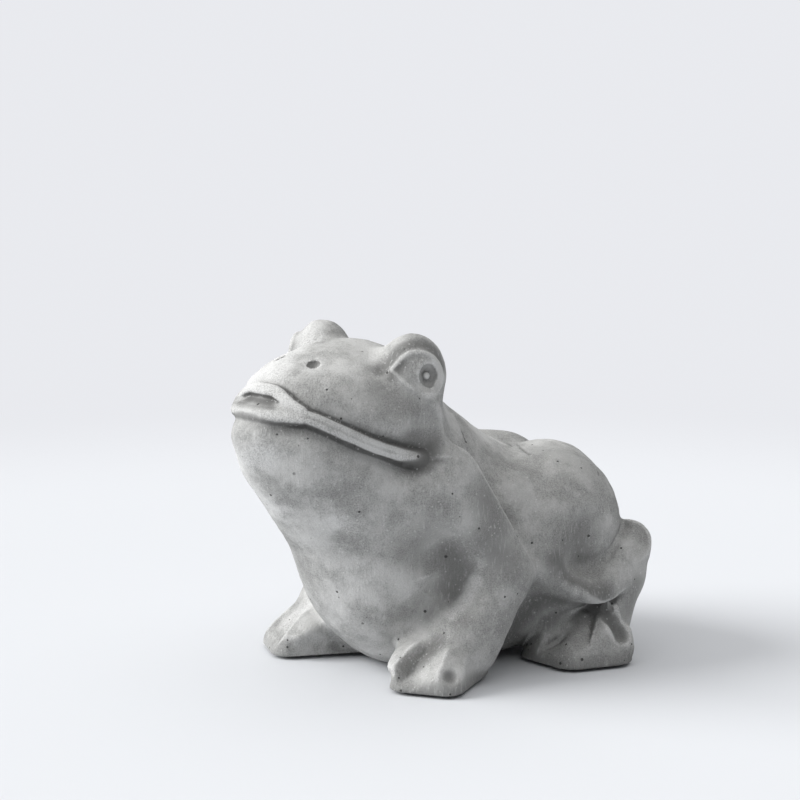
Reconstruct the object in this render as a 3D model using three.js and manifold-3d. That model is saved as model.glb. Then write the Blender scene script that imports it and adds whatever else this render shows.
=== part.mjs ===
// Garden frog cast in grey cement, squatting on four feet, about 210 mm long.
// Millimetres, +Z up. The frog faces -Y, its left side is +X, and it stands on z = 0.
// The casting is a hollow shell. A cement plate, bedded in mortar, closes the core's
// opening under the belly, and a felt pad is glued to the sole of each foot.

import * as THREE from 'three';
import { mergeVertices } from 'three/addons/utils/BufferGeometryUtils.js';
import Module from 'manifold-3d';

const wasm = await Module();
wasm.setup();

// Overall size, and the size of the clay model that it is enlarged from
const FROG_WIDTH = 166.5;
const FROG_LENGTH = 209;
const FROG_HEIGHT = 168.5;
const MODEL_WIDTH = 166.5;
const MODEL_LENGTH = 209;
const MODEL_HEIGHT = 168.5;

// Fits and thicknesses
const TOUCH_GAP = 0.3;
const PAD_THICKNESS = 1.2;
const PAD_INSET = 5;
const SOLE_HEIGHT = PAD_THICKNESS + TOUCH_GAP;
const BELLY_CLEARANCE = 4;
const SHELL_WALL = 13;
const PLATE_RADIUS = 27;
const PLATE_THICKNESS = 9;
const PLATE_LEDGE = 6;
const MORTAR_WIDTH = 2.5;
const REBATE_RIM = 12;
const PLATE_CENTRE_Y = 20;

// The clay's skin: size of the cells of its net, how far the net reaches past the forms, and how
// its points settle on the forms
const SKIN_CELL = 7;
const CORE_CELL = 10;
const SKIN_MARGIN = 6;
const CELL_RIM = 0.04;
const SLOPE_STEP = 0.05;
const SLOPE_LEAST = 0.2;
const MIDDLE_PULL = 0.15;
const SETTLE_TURNS = 6;

// Forms of the body: centres, radii and lengths of the left half, where x is 0 or more
const BELLY = { at: [0, -9, 53], radii: [48, 54, 51] };
const RUMP = { at: [0, 43, 57], radii: [46, 51, 42], tilt: 8 };
const THROAT = { path: [[0, -64, 118], [0, -18, 70]], radii: [41, 48] };
const NAPE = { path: [[0, -30, 109], [0, 30, 64]], radii: [37, 40] };
const SKULL = { at: [0, -43, 128], radii: [49, 34, 30] };
const SNOUT = { at: [0, -63, 131], radii: [36, 45, 24], tilt: -6 };
const EYE_BULGE = { at: [33, -36, 148], radii: [16, 16, 20] };
const HUMP = { at: [18, 67, 70], radii: [30, 33, 33.5] };
const HAUNCH = { at: [36, 53, 66], radii: [33, 37, 36] };
const THIGH = { at: [38, 50, 32], radii: [24, 32, 34] };
const ARM = { path: [[33, -22, 96], [44, 3, 52], [46, -17, 19]], radii: [28, 22, 19] };
const SHIN = { path: [[60, 80, 52], [62, 67, 16]], radii: [11.5, 11.5] };

// The fold of the knee: a roll down the front of the haunch and round under it, with a sharp lower
// edge that lies on a circle about KNEE_CIRCLE's y and z, and the ankle behind it with a flat top
const KNEE_FOLD = {
  path: [[56, 29, 80], [58, 28, 58], [60, 30, 43], [63, 39, 36], [64.5, 51.5, 33], [64.5, 64, 38.5],
    [62.5, 74, 47]],
  radii: [5, 6, 8, 9, 9, 10, 11],
};
const KNEE_CIRCLE = { at: [50.5, 62], radius: 30.5 };
const ANKLE = { path: [[62.5, 72, 47], [63, 79.5, 55.5]], radii: [10, 13] };
const ANKLE_TOP = { facing: [0.56, -0.55, 0.62], distance: 29.1 };

// Hollows: in the armpit, from the ribs down to the foot, and in the haunch above the knee's fold
const ARMPIT = { path: [[52, -26, 66], [51, -20, 54], [48, -24, 42], [40, -35, 31]], width: 20, depth: 9 };
const HAUNCH_HOLLOW = { path: [[68, 44, 57], [68, 47, 51]], width: 20, depth: 3 };

// The belly block is the pad of cement that the closing plate is let into
const BELLY_BLOCK = { length: 104, height: 44, edge: 16 };

// Flat cuts behind the upper arm and the forearm: facing and distance from the origin
const UPPER_ARM_BACK = { facing: [0, 0.85, 0.53], distance: 43 };
const FOREARM_BACK = { facing: [0, 0.854, -0.521], distance: -6.3 };

// Feet: half width and half length in plan, turned outwards, with a sloping top
const FRONT_FOOT = { at: [44.6, -29], half: [18.5, 26.5], corner: 9, turn: 28, draft: 0.1 };
const HIND_FOOT = { at: [56.3, 54], half: [25, 22], corner: 12, turn: -20, draft: 0.2 };
const HIND_TOE_SOLE = { at: [48, 44], half: [15, 15], corner: 10, turn: 0, draft: 0.4 };
const FRONT_FOOT_TOP = { edge: 8, rise: 0.7, crest: 22 };
const HIND_FOOT_TOP = { crest: 13.5, rise: 0.35 };

// Toes: ridges, with how steeply their sides fall, and a round one on the inner side of the hind foot
const FRONT_RIDGE = { from: [42, -35, 27], to: [40.5, -54.5, 13], left: 1.2, right: 0.5 };
const OUTER_FRONT_RIDGE = { from: [56, -31, 24.5], to: [62, -45.5, 11.5], left: 0.9, right: 0.2 };
const HIND_TOE = { path: [[60, 48, 19], [44, 37, 8]], radii: [9, 9.5] };
const HIND_RIDGE = { from: [69, 58, 30], to: [75, 40, 7], left: 0.5, right: 1.3 };
const OUTER_HIND_RIDGE = { from: [71, 60, 29], to: [81, 65, 12], left: 1, right: 0.5 };

// Mouth: the middle of its raised band, from the front to the corner
const MOUTH_PATH = [[0, -104, 137], [22, -96, 134], [37.5, -80, 123], [45, -56, 112.5], [50, -43, 110]];
const MOUTH_BAND_RADIUS = 3.2;
const MOUTH_BAND_SUNK = 1.6;
const LIPS = { at: [0, -108, 138], radii: [20, 9, 7] };
const LIP_SLOT = { rise: 1, radii: [13, 7, 2] };

// Eyes: a rim round a shallow bowl with a raised pupil, turned a little to the front, and placed
// from the middle of the eye's bulge
const EYE = { from: [15.3, -4.3, 2.5], sunk: 0.9, turn: -16, rim: [7, 8.5], rimRadius: 1.5 };
const EYE_BOWL_RADII = [3, 5.5, 7];
const PUPIL_RADIUS = 2;
const NOSTRIL = { at: [11.3, -78.6, 155.5], radius: 2.3 };

// Hollow between the outer toes of the hind foot
const HIND_TOE_HOLLOW = { path: [[74, 56, 27], [81, 59, 13]], width: 8, depth: 4 };

// How softly the forms run into each other
const SOFT = { trunk: 28, block: 14, neck: 18, chest: 14, skull: 14, face: 10, haunch: 9, eye: 7 };
const FIRM = { limb: 6, foot: 5, leg: 5, fold: 8, toe: 3, edge: 2 };
const ARM_BLEND = { front: 17, back: 5, fade: 8 };

// Facets of the round details
const DISC_FACETS = 48;
const BALL_FACETS = 14;
const BALL_ROWS = 10;
const BAND_STEPS = 32;
const BAND_ARC_FACETS = 4;
const RIM_FACETS = 6;
const RIM_STEPS = 24;
const PAD_ARC_FACETS = 4;

// Colours and roughness of the cement, the mortar and the felt
const CEMENT = { color: 0x9a9a97, roughness: 0.9 };
const PLATE_CEMENT = { color: 0x8f8f8b, roughness: 0.92 };
const MORTAR = { color: 0xa7a6a1, roughness: 0.95 };
const FELT = { color: 0x3b3b3d, roughness: 1 };

// Blends of two distances, and the forms that the clay is made of

function join(a, b, soft) {
  const share = THREE.MathUtils.clamp(0.5 + 0.5 * (b - a) / soft, 0, 1);
  return b + (a - b) * share - soft * share * (1 - share);
}

function cut(a, b, soft) {
  return -join(-a, -b, soft);
}

function egg(p, { at, radii, tilt = 0 }) {
  const lift = THREE.MathUtils.degToRad(tilt);
  const [dx, ahead, above] = [p[0] - at[0], p[1] - at[1], p[2] - at[2]];
  const dy = Math.cos(lift) * ahead - Math.sin(lift) * above;
  const dz = Math.sin(lift) * ahead + Math.cos(lift) * above;
  const near = Math.hypot(dx / radii[0], dy / radii[1], dz / radii[2]);
  const steep = Math.hypot(dx / radii[0] ** 2, dy / radii[1] ** 2, dz / radii[2] ** 2);
  return near * (near - 1) / Math.max(steep, Number.EPSILON);
}

function limb(p, { path, radii }, soft) {
  let distance = Infinity;
  for (let i = 1; i < path.length; i += 1) {
    const [a, b] = [path[i - 1], path[i]];
    const along = b.map((v, k) => v - a[k]);
    const from = p.map((v, k) => v - a[k]);
    const length2 = along[0] ** 2 + along[1] ** 2 + along[2] ** 2;
    const dot = from[0] * along[0] + from[1] * along[1] + from[2] * along[2];
    const t = THREE.MathUtils.clamp(dot / length2, 0, 1);
    const bone = Math.hypot(from[0] - t * along[0], from[1] - t * along[1], from[2] - t * along[2]);
    const skin = bone - THREE.MathUtils.lerp(radii[i - 1], radii[i], t);
    distance = soft && distance < Infinity ? join(distance, skin, soft) : Math.min(distance, skin);
  }
  return distance;
}

function block(p, { at, half, corner, turn, draft }) {
  const angle = THREE.MathUtils.degToRad(turn);
  const [dx, dy] = [p[0] - at[0], p[1] - at[1]];
  const across = Math.abs(Math.cos(angle) * dx + Math.sin(angle) * dy) - half[0] + corner + draft * p[2];
  const along = Math.abs(Math.cos(angle) * dy - Math.sin(angle) * dx) - half[1] + corner + draft * p[2];
  return Math.hypot(Math.max(across, 0), Math.max(along, 0)) + Math.min(Math.max(across, along), 0) - corner;
}

function ridge(p, { from, to, left, right }) {
  const [dx, dy, drop] = to.map((v, k) => v - from[k]);
  const run = Math.hypot(dx, dy);
  const [px, py] = [p[0] - from[0], p[1] - from[1]];
  const ahead = Math.max((px * dx + py * dy) / run ** 2, 0);
  const aside = (py * dx - px * dy) / run;
  const fall = aside > 0 ? left : -right;
  return (p[2] - from[2] - drop * ahead + fall * aside) / Math.hypot(1, fall);
}

function hollow(p, { path, width, depth }) {
  const off = Math.min(limb(p, { path, radii: path.map(() => 0) }) / width, 1);
  return depth * (1 - off ** 2) ** 3;
}

function behind(p, { facing, distance }) {
  return facing[0] * p[0] + facing[1] * p[1] + facing[2] * p[2] - distance;
}

// The body, from the trunk outwards. Every function takes a place and gives its distance
// from the skin, which is negative inside.

const growth = [FROG_WIDTH / MODEL_WIDTH, FROG_LENGTH / MODEL_LENGTH, FROG_HEIGHT / MODEL_HEIGHT];
const rebateRadius = PLATE_RADIUS + MORTAR_WIDTH;
const blockHalf = [(rebateRadius + REBATE_RIM) / growth[0], BELLY_BLOCK.length / 2, BELLY_BLOCK.height / 2];
const bellyLevel = BELLY_CLEARANCE / growth[2];

function bellyBlock(p) {
  const off = [p[0], p[1] - PLATE_CENTRE_Y / growth[1], p[2] - blockHalf[2]];
  const past = off.map((v, k) => Math.abs(v) - blockHalf[k] + BELLY_BLOCK.edge);
  const outside = Math.hypot(...past.map((v) => Math.max(v, 0)));
  return outside + Math.min(Math.max(...past), 0) - BELLY_BLOCK.edge;
}

function trunk(p) {
  let body = join(egg(p, BELLY), egg(p, RUMP), SOFT.trunk);
  body = join(body, bellyBlock(p), SOFT.block);
  const neck = join(limb(p, THROAT), limb(p, NAPE), SOFT.neck);
  body = join(body, neck, SOFT.chest);
  const head = join(egg(p, SKULL), egg(p, SNOUT), SOFT.skull);
  return cut(join(body, head, SOFT.face), bellyLevel - p[2], FIRM.edge);
}

function withArms(p, body) {
  const flat = Math.max(behind(p, UPPER_ARM_BACK), behind(p, FOREARM_BACK));
  const arm = cut(limb(p, ARM, FIRM.limb), flat, FIRM.leg);
  const [shoulder, elbow] = ARM.path;
  const high = THREE.MathUtils.smoothstep(p[2], elbow[2], shoulder[2]);
  const middle = THREE.MathUtils.lerp(elbow[1], shoulder[1], high);
  const front = THREE.MathUtils.smoothstep(middle - p[1], -ARM_BLEND.fade, ARM_BLEND.fade);
  const soft = THREE.MathUtils.lerp(ARM_BLEND.back, ARM_BLEND.front, front * high);
  return join(body + hollow(p, ARMPIT), arm, soft);
}

function withLegs(p, body) {
  let legs = join(body, egg(p, HUMP), SOFT.haunch);
  legs = join(legs, egg(p, HAUNCH), SOFT.haunch);
  legs = join(legs, egg(p, THIGH), SOFT.haunch);
  const off = Math.hypot(p[1] - KNEE_CIRCLE.at[0], p[2] - KNEE_CIRCLE.at[1]) - KNEE_CIRCLE.radius;
  const fold = cut(limb(p, KNEE_FOLD, FIRM.limb), off, FIRM.edge);
  const ankle = cut(limb(p, ANKLE), behind(p, ANKLE_TOP), FIRM.edge);
  legs = join(legs + hollow(p, HAUNCH_HOLLOW), join(fold, ankle, FIRM.edge), FIRM.fold);
  return join(legs, limb(p, SHIN), FIRM.leg);
}

function frontFoot(p) {
  const angle = THREE.MathUtils.degToRad(FRONT_FOOT.turn);
  const [dx, dy] = [p[0] - FRONT_FOOT.at[0], p[1] - FRONT_FOOT.at[1]];
  const fromToes = Math.cos(angle) * dy - Math.sin(angle) * dx + FRONT_FOOT.half[1];
  let top = p[2] - FRONT_FOOT_TOP.edge - FRONT_FOOT_TOP.rise * fromToes;
  top = join(top, ridge(p, FRONT_RIDGE), FIRM.toe);
  top = join(top, ridge(p, OUTER_FRONT_RIDGE), FIRM.toe);
  top = cut(top, p[2] - FRONT_FOOT_TOP.crest, FIRM.foot);
  return cut(block(p, FRONT_FOOT), top, FIRM.foot);
}

function hindFoot(p) {
  const [, heel] = SHIN.path;
  const plan = join(block(p, HIND_FOOT), block(p, HIND_TOE_SOLE), FIRM.foot);
  let top = p[2] - HIND_FOOT_TOP.crest + HIND_FOOT_TOP.rise * Math.hypot(p[0] - heel[0], p[1] - heel[1]);
  top = join(top, limb(p, HIND_TOE), FIRM.foot);
  top = join(top, ridge(p, HIND_RIDGE), FIRM.toe);
  top = join(top, ridge(p, OUTER_HIND_RIDGE), FIRM.toe);
  return cut(plan, top + hollow(p, HIND_TOE_HOLLOW), FIRM.foot);
}

function withFeet(p, body) {
  return join(body, Math.min(frontFoot(p), hindFoot(p)), FIRM.foot);
}

function frog(place) {
  const p = [Math.abs(place[0]), place[1], place[2]];
  const body = withFeet(p, withLegs(p, withArms(p, trunk(p))));
  return cut(join(body, egg(p, EYE_BULGE), SOFT.eye), -SKIN_MARGIN / 2 - p[2], FIRM.edge);
}

// The core that leaves the shell hollow: the trunk drawn in by the wall
function core(p) {
  const drawnIn = ({ at, radii }) => ({ at, radii: radii.map((r) => r - SHELL_WALL) });
  const inside = join(egg(p, drawnIn(BELLY)), egg(p, drawnIn(RUMP)), SOFT.trunk - SHELL_WALL);
  const floor = (BELLY_CLEARANCE + PLATE_THICKNESS + SHELL_WALL) / growth[2];
  return cut(inside, floor - p[2], FIRM.edge);
}

// The way in which the distance grows, and one step back along it to where the distance is zero

function slope(distance, p, here) {
  return [0, 1, 2].map((axis) => {
    const moved = p.map((v, k) => (k === axis ? v + SLOPE_STEP : v));
    return (distance(moved) - here) / SLOPE_STEP;
  });
}

function step(distance, p) {
  const here = distance(p);
  const way = slope(distance, p, here);
  const off = here / Math.max(way[0] ** 2 + way[1] ** 2 + way[2] ** 2, SLOPE_LEAST);
  return p.map((v, k) => v - off * way[k]);
}

// The place nearest to all the tangent planes of a few places on the skin

function meetingOf(places, normals) {
  const middle = [0, 1, 2].map((k) => places.reduce((sum, p) => sum + p[k], 0) / places.length);
  const pull = new Float64Array(9);
  const push = new THREE.Vector3();
  normals.forEach((n, i) => {
    const reach = n.reduce((sum, v, k) => sum + v * (places[i][k] - middle[k]), 0);
    n.forEach((v, row) => n.forEach((w, column) => { pull[3 * row + column] += v * w; }));
    push.add(new THREE.Vector3(...n).multiplyScalar(reach));
  });
  [0, 4, 8].forEach((k) => { pull[k] += MIDDLE_PULL; });
  const off = push.applyMatrix3(new THREE.Matrix3().set(...pull).invert());
  return new THREE.Vector3(...middle).add(off).toArray();
}

// A closed skin over the places where the distance is zero: one point in every cell of the net
// that the skin passes through, and a face of four of them round every line that crosses it.

function lines(from, to, cell) {
  return Array.from({ length: Math.ceil((to - from) / cell) + 1 }, (_, i) => from + i * cell);
}

function skin(distance, low, high, cell) {
  const axes = [0, 1, 2].map((k) => lines(low[k] - cell, high[k] + cell, cell));
  const size = axes.map((axis) => axis.length);
  const index = ([i, j, k]) => (i * size[1] + j) * size[2] + k;
  const place = (c) => c.map((v, k) => axes[k][v]);
  const shift = (c, by) => c.map((v, k) => v + by[k]);
  const field = new Float64Array(size[0] * size[1] * size[2]);
  const everyCorner = (visit, end) => {
    for (let i = end; i < size[0] - end; i += 1) {
      for (let j = end; j < size[1] - end; j += 1) {
        for (let k = end; k < size[2] - end; k += 1) visit([i, j, k]);
      }
    }
  };
  everyCorner((c) => { field[index(c)] = distance(place(c)); }, 0);

  // Two skins may not meet crosswise in one face of a cell: the nearest corner changes sides
  const unit = [[1, 0, 0], [0, 1, 0], [0, 0, 1]];
  let crossed = true;
  while (crossed) {
    crossed = false;
    everyCorner((c) => [[0, 1], [1, 2], [2, 0]].forEach(([u, v]) => {
      const next = shift(c, unit[u]);
      const face = [c, next, shift(next, unit[v]), shift(c, unit[v])].map(index);
      const inside = face.map((corner) => field[corner] < 0);
      if (inside[0] !== inside[2] || inside[1] !== inside[3] || inside[0] === inside[1]) return;
      const nearest = face.reduce((a, b) => (Math.abs(field[a]) < Math.abs(field[b]) ? a : b));
      field[nearest] *= -1;
      crossed = true;
    }), 1);
  }

  const crossings = new Map();
  const crossing = (a, axis) => {
    const key = 3 * index(a) + axis;
    if (!crossings.has(key)) {
      const b = shift(a, unit[axis]);
      const [from, to, da, db] = [place(a), place(b), field[index(a)], field[index(b)]];
      const p = from.map((v, k) => THREE.MathUtils.lerp(v, to[k], da / (da - db)));
      const way = slope(distance, p, distance(p));
      const steep = Math.max(Math.hypot(...way), SLOPE_LEAST);
      crossings.set(key, { p, normal: way.map((v) => v / steep) });
    }
    return crossings.get(key);
  };

  const rim = cell * CELL_RIM;
  const points = [];
  const pointOfCell = new Map();
  const pointIn = (c) => {
    const key = index(c);
    if (pointOfCell.has(key)) return pointOfCell.get(key);
    const found = [];
    unit.forEach((along, axis) => [0, 1].forEach((u) => [0, 1].forEach((v) => {
      const a = c.map((at, k) => at + (k === (axis + 1) % 3 ? u : 0) + (k === (axis + 2) % 3 ? v : 0));
      if (field[index(a)] < 0 !== field[index(shift(a, along))] < 0) found.push(crossing(a, axis));
    })));
    const meeting = meetingOf(found.map(({ p }) => p), found.map(({ normal }) => normal));
    const [near, far] = [place(c), place(shift(c, [1, 1, 1]))];
    pointOfCell.set(key, points.length / 3);
    points.push(...meeting.map((v, k) => THREE.MathUtils.clamp(v, near[k] + rim, far[k] - rim)));
    return pointOfCell.get(key);
  };

  const faces = [];
  everyCorner((c) => unit.forEach((along, axis) => {
    const [here, there] = [field[index(c)], field[index(shift(c, along))]];
    if (here < 0 === there < 0) return;
    const back = unit[(axis + 1) % 3].map((v) => -v);
    const down = unit[(axis + 2) % 3].map((v) => -v);
    const q = [c, shift(c, back), shift(shift(c, back), down), shift(c, down)].map(pointIn);
    if (there < 0) q.reverse();
    faces.push(q[0], q[1], q[2], q[0], q[2], q[3]);
  }), 1);
  const geometry = new THREE.BufferGeometry();
  geometry.setAttribute('position', new THREE.Float32BufferAttribute(points, 3));
  geometry.setIndex(faces);
  return geometry;
}

// Solids that can be joined and cut, and the meshes made of them

function solid(geometry) {
  const bare = geometry.clone();
  bare.deleteAttribute('normal');
  bare.deleteAttribute('uv');
  const merged = mergeVertices(bare);
  return new wasm.Manifold(new wasm.Mesh({
    numProp: 3,
    vertProperties: new Float32Array(merged.attributes.position.array),
    triVerts: new Uint32Array(merged.index.array),
  }));
}

function enlarged(geometry) {
  return solid(geometry.scale(...growth));
}

function piece(name, body, finish) {
  const { vertProperties, triVerts } = body.getMesh();
  const geometry = new THREE.BufferGeometry();
  geometry.setAttribute('position', new THREE.BufferAttribute(vertProperties, 3));
  geometry.setIndex(new THREE.BufferAttribute(triVerts, 1));
  geometry.computeVertexNormals();
  const mesh = new THREE.Mesh(geometry, new THREE.MeshStandardMaterial({ ...finish, metalness: 0 }));
  mesh.name = name;
  return mesh;
}

function disc(radius, bottom, top) {
  const geometry = new THREE.CylinderGeometry(radius, radius, top - bottom, DISC_FACETS);
  geometry.rotateX(Math.PI / 2);
  geometry.translate(0, PLATE_CENTRE_Y, (top + bottom) / 2);
  return solid(geometry);
}

// Extent of the frog, from the forms that reach furthest each way

const FORMS = [
  BELLY, RUMP, THROAT, NAPE, SKULL, SNOUT, EYE_BULGE, HUMP, HAUNCH, THIGH, ARM, KNEE_FOLD, ANKLE,
  SHIN,
];

function reach(axis, way) {
  const ends = FORMS.flatMap(({ at, path, radii }) => (path ?? [at]).map((p, i) => (
    way * p[axis] + (path ? radii[i] : radii[axis]))));
  const feet = [FRONT_FOOT, HIND_FOOT].map(({ at, half }) => way * (at[axis] ?? 0) + Math.hypot(...half));
  return way * (Math.max(...ends, ...feet) + SKIN_MARGIN);
}

const halfWidth = Math.ceil(reach(0, 1) / SKIN_CELL) * SKIN_CELL;
const low = [-halfWidth, reach(1, -1), -SKIN_MARGIN];
const high = [halfWidth, reach(1, 1), reach(2, 1)];

// Details of the face, each placed on the left and mirrored to the right

function mirrored([x, y, z], way) {
  return [way * x, y, z];
}

function ball(at, radii) {
  const geometry = new THREE.SphereGeometry(1, BALL_FACETS, BALL_ROWS);
  geometry.scale(...radii);
  geometry.translate(...at);
  return enlarged(geometry);
}

function inSkin(start, depth) {
  let p = start;
  for (let turn = 0; turn < SETTLE_TURNS; turn += 1) p = step((at) => frog(at) + depth, p);
  return p;
}

// The band along the mouth: a tube across the face, its middle line sunk below the skin
function mouthBand() {
  const left = MOUTH_PATH.map((p) => inSkin(p, MOUTH_BAND_SUNK));
  const right = left.slice(1).reverse().map(([x, y, z]) => [-x, y, z]);
  const curve = new THREE.CatmullRomCurve3([...right, ...left].map((p) => new THREE.Vector3(...p)));
  const section = new THREE.Shape().absarc(0, 0, MOUTH_BAND_RADIUS, 0, 2 * Math.PI);
  const facets = { steps: BAND_STEPS, curveSegments: BAND_ARC_FACETS };
  return enlarged(new THREE.ExtrudeGeometry(section, { extrudePath: curve, ...facets }));
}

const eyeAt = inSkin(EYE_BULGE.at.map((v, k) => v + EYE.from[k]), EYE.sunk);
const eyeTurn = THREE.MathUtils.degToRad(EYE.turn);

function eyeRim(way) {
  const [halfLength, halfHeight] = EYE.rim;
  const geometry = new THREE.TorusGeometry(1, EYE.rimRadius / halfHeight, RIM_FACETS, RIM_STEPS);
  geometry.scale(halfLength, halfHeight, halfHeight);
  geometry.rotateY(Math.PI / 2);
  geometry.rotateZ(way * eyeTurn);
  geometry.translate(...mirrored(eyeAt, way));
  return enlarged(geometry);
}

const bothSides = (make) => [make(1), make(-1)];
const [bowlDepth] = EYE_BOWL_RADII;
const intoEye = [-Math.cos(eyeTurn), -Math.sin(eyeTurn), 0];
const pupilAt = eyeAt.map((v, k) => v + bowlDepth * intoEye[k]);
const nostrilAt = inSkin(NOSTRIL.at, 0);
const [, lipDepth] = LIPS.radii;
const lipsAt = inSkin(LIPS.at, lipDepth);
const lipSlotAt = [lipsAt[0], lipsAt[1] - lipDepth, lipsAt[2] + LIP_SLOT.rise];
const sunkIn = [
  ...bothSides((way) => ball(mirrored(eyeAt, way), EYE_BOWL_RADII)),
  ...bothSides((way) => ball(mirrored(nostrilAt, way), Array(3).fill(NOSTRIL.radius))),
];
const raised = [
  mouthBand(),
  ball(lipsAt, LIPS.radii),
  ...bothSides(eyeRim),
  ...bothSides((way) => ball(mirrored(pupilAt, way), Array(3).fill(PUPIL_RADIUS))),
];

// Casting: the clay's skin with its details, flat on its soles, hollow, with the stepped opening
// for the plate

const [lowest, highest] = [low, high].map((corner) => corner.map((v, k) => v * growth[k]));
const underSoles = new THREE.BoxGeometry(...highest.map((v, k) => v - lowest[k]));
const soleShift = [0, 1, 2].map((k) => (highest[k] + lowest[k]) / 2);
underSoles.translate(soleShift[0], soleShift[1], SOLE_HEIGHT - (highest[2] - lowest[2]) / 2);
const seat = BELLY_CLEARANCE + PLATE_THICKNESS + TOUCH_GAP;
const clay = enlarged(skin(frog, low, high, SKIN_CELL));
const carved = sunkIn.reduce((body, detail) => body.subtract(detail), clay);
const modelled = raised.reduce((body, detail) => body.add(detail), carved);
const casting = modelled
  .subtract(ball(lipSlotAt, LIP_SLOT.radii))
  .subtract(solid(underSoles))
  .subtract(enlarged(skin(core, low, high, CORE_CELL)))
  .subtract(disc(rebateRadius, lowest[2], seat))
  .subtract(disc(PLATE_RADIUS - PLATE_LEDGE, lowest[2], BELLY.at[2] * growth[2]));

// Plate and the mortar round its edge

const plate = disc(PLATE_RADIUS, BELLY_CLEARANCE, BELLY_CLEARANCE + PLATE_THICKNESS);
const mortar = disc(rebateRadius - TOUCH_GAP, BELLY_CLEARANCE, BELLY_CLEARANCE + PLATE_THICKNESS)
  .subtract(disc(PLATE_RADIUS + TOUCH_GAP, 0, seat));

// Felt pads, each a little smaller than the sole that it is glued to

function pad({ at, half, corner, turn }, way) {
  const [w, l] = half.map((h, k) => h * growth[k] - PAD_INSET);
  const r = Math.max(corner - PAD_INSET, PAD_INSET);
  const outline = new THREE.Shape();
  outline.absarc(w - r, l - r, r, 0, Math.PI / 2);
  outline.absarc(r - w, l - r, r, Math.PI / 2, Math.PI);
  outline.absarc(r - w, r - l, r, Math.PI, 1.5 * Math.PI);
  outline.absarc(w - r, r - l, r, 1.5 * Math.PI, 2 * Math.PI);
  outline.closePath();
  const sheet = { depth: PAD_THICKNESS, bevelEnabled: false, curveSegments: PAD_ARC_FACETS };
  const geometry = new THREE.ExtrudeGeometry(outline, sheet);
  geometry.rotateZ(way * THREE.MathUtils.degToRad(turn));
  geometry.translate(way * at[0] * growth[0], at[1] * growth[1], 0);
  return solid(geometry);
}

const frogOrnament = new THREE.Group();
frogOrnament.add(
  piece('frog_casting', casting, CEMENT),
  piece('belly_plate', plate, PLATE_CEMENT),
  piece('plate_mortar', mortar, MORTAR),
);
[['front', FRONT_FOOT], ['hind', HIND_FOOT]].forEach(([place, foot]) => {
  frogOrnament.add(piece(`${place}_left_pad`, pad(foot, 1), FELT));
  frogOrnament.add(piece(`${place}_right_pad`, pad(foot, -1), FELT));
});

// The origin lies on the ground under the middle of the frog's length
const extent = new THREE.Box3().setFromObject(frogOrnament);
frogOrnament.position.y = -(extent.min.y + extent.max.y) / 2;

export default frogOrnament;
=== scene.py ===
import math

import bpy
import numpy as np
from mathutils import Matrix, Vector


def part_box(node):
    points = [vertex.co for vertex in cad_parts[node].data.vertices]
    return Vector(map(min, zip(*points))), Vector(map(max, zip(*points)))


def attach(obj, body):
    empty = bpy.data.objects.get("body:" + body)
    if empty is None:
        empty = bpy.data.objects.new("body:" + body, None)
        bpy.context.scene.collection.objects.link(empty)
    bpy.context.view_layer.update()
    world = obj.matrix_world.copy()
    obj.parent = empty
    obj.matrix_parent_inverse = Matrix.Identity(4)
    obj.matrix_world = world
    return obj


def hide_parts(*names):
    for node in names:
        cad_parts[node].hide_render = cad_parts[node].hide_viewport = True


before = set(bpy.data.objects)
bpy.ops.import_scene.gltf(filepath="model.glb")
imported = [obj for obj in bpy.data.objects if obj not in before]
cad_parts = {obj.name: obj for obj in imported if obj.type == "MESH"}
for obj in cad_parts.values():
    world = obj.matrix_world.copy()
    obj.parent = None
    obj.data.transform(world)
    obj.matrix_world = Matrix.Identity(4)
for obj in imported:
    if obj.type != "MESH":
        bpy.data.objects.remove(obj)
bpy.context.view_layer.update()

# Frog casting: one hollow lump of grey cement mortar out of a two-part mould, with the face, the
# folded legs and the toes cast in. It was rubbed down with a stiff brush and left bare, so its
# bloom, its pores and the brush marks all show.
MM = 0.001
SOLE_HEIGHT = 1.5
BELLY_CLEARANCE = 4
REBATE = {"radius": 29.5, "depth": 9.3}
PLATE_BEHIND = 20
EYE_BULGE = {"at": (33, -36, 148), "radii": (16, 16, 20)}
FRONT_SOLE = {"at": (44.6, -29), "yaw": 28}
HIND_SOLE = {"at": (56.3, 54), "yaw": -20}


# The clay model, in millimetres: x to the frog's left, y to its tail, z up. A shape gives the
# distance of points from its skin, less than 0 inside. Shapes are pressed together, cut out of
# each other or cut off, and soft is how far the join is smoothed.
def melt(a, b, soft):
    share = np.clip(0.5 + 0.5 * (b - a) / soft, 0, 1)
    return b + (a - b) * share - soft * share * (1 - share)


def carve(a, b, soft):
    return -melt(-a, b, soft)


def trim(a, b, soft):
    return -melt(-a, -b, soft)


# A soft step from 0 to 1, and a soft bump of the given width
def rise(v, low, high):
    t = np.clip((v - low) / (high - low), 0, 1)
    return t * t * (3 - 2 * t)


def swell(v, width):
    t = np.clip(np.abs(v) / width, 0, 1)
    return (1 - t * t) ** 3


# Eggs, rolled limbs and lines along them
def turned(p, yaw=0, pitch=0):
    x, y, z = p.T
    s, c = math.sin(math.radians(yaw)), math.cos(math.radians(yaw))
    x, y = c * x + s * y, c * y - s * x
    s, c = math.sin(math.radians(pitch)), math.cos(math.radians(pitch))
    y, z = c * y - s * z, s * y + c * z
    return np.stack([x, y, z], 1)


def egg(p, at, radii, yaw=0, pitch=0):
    q = turned(p - np.array(at, float), yaw, pitch)
    radii = np.array(radii, float)
    near = np.linalg.norm(q / radii, axis=1)
    steep = np.linalg.norm(q / radii ** 2, axis=1)
    return near * (near - 1) / np.maximum(steep, 1e-9)


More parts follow.
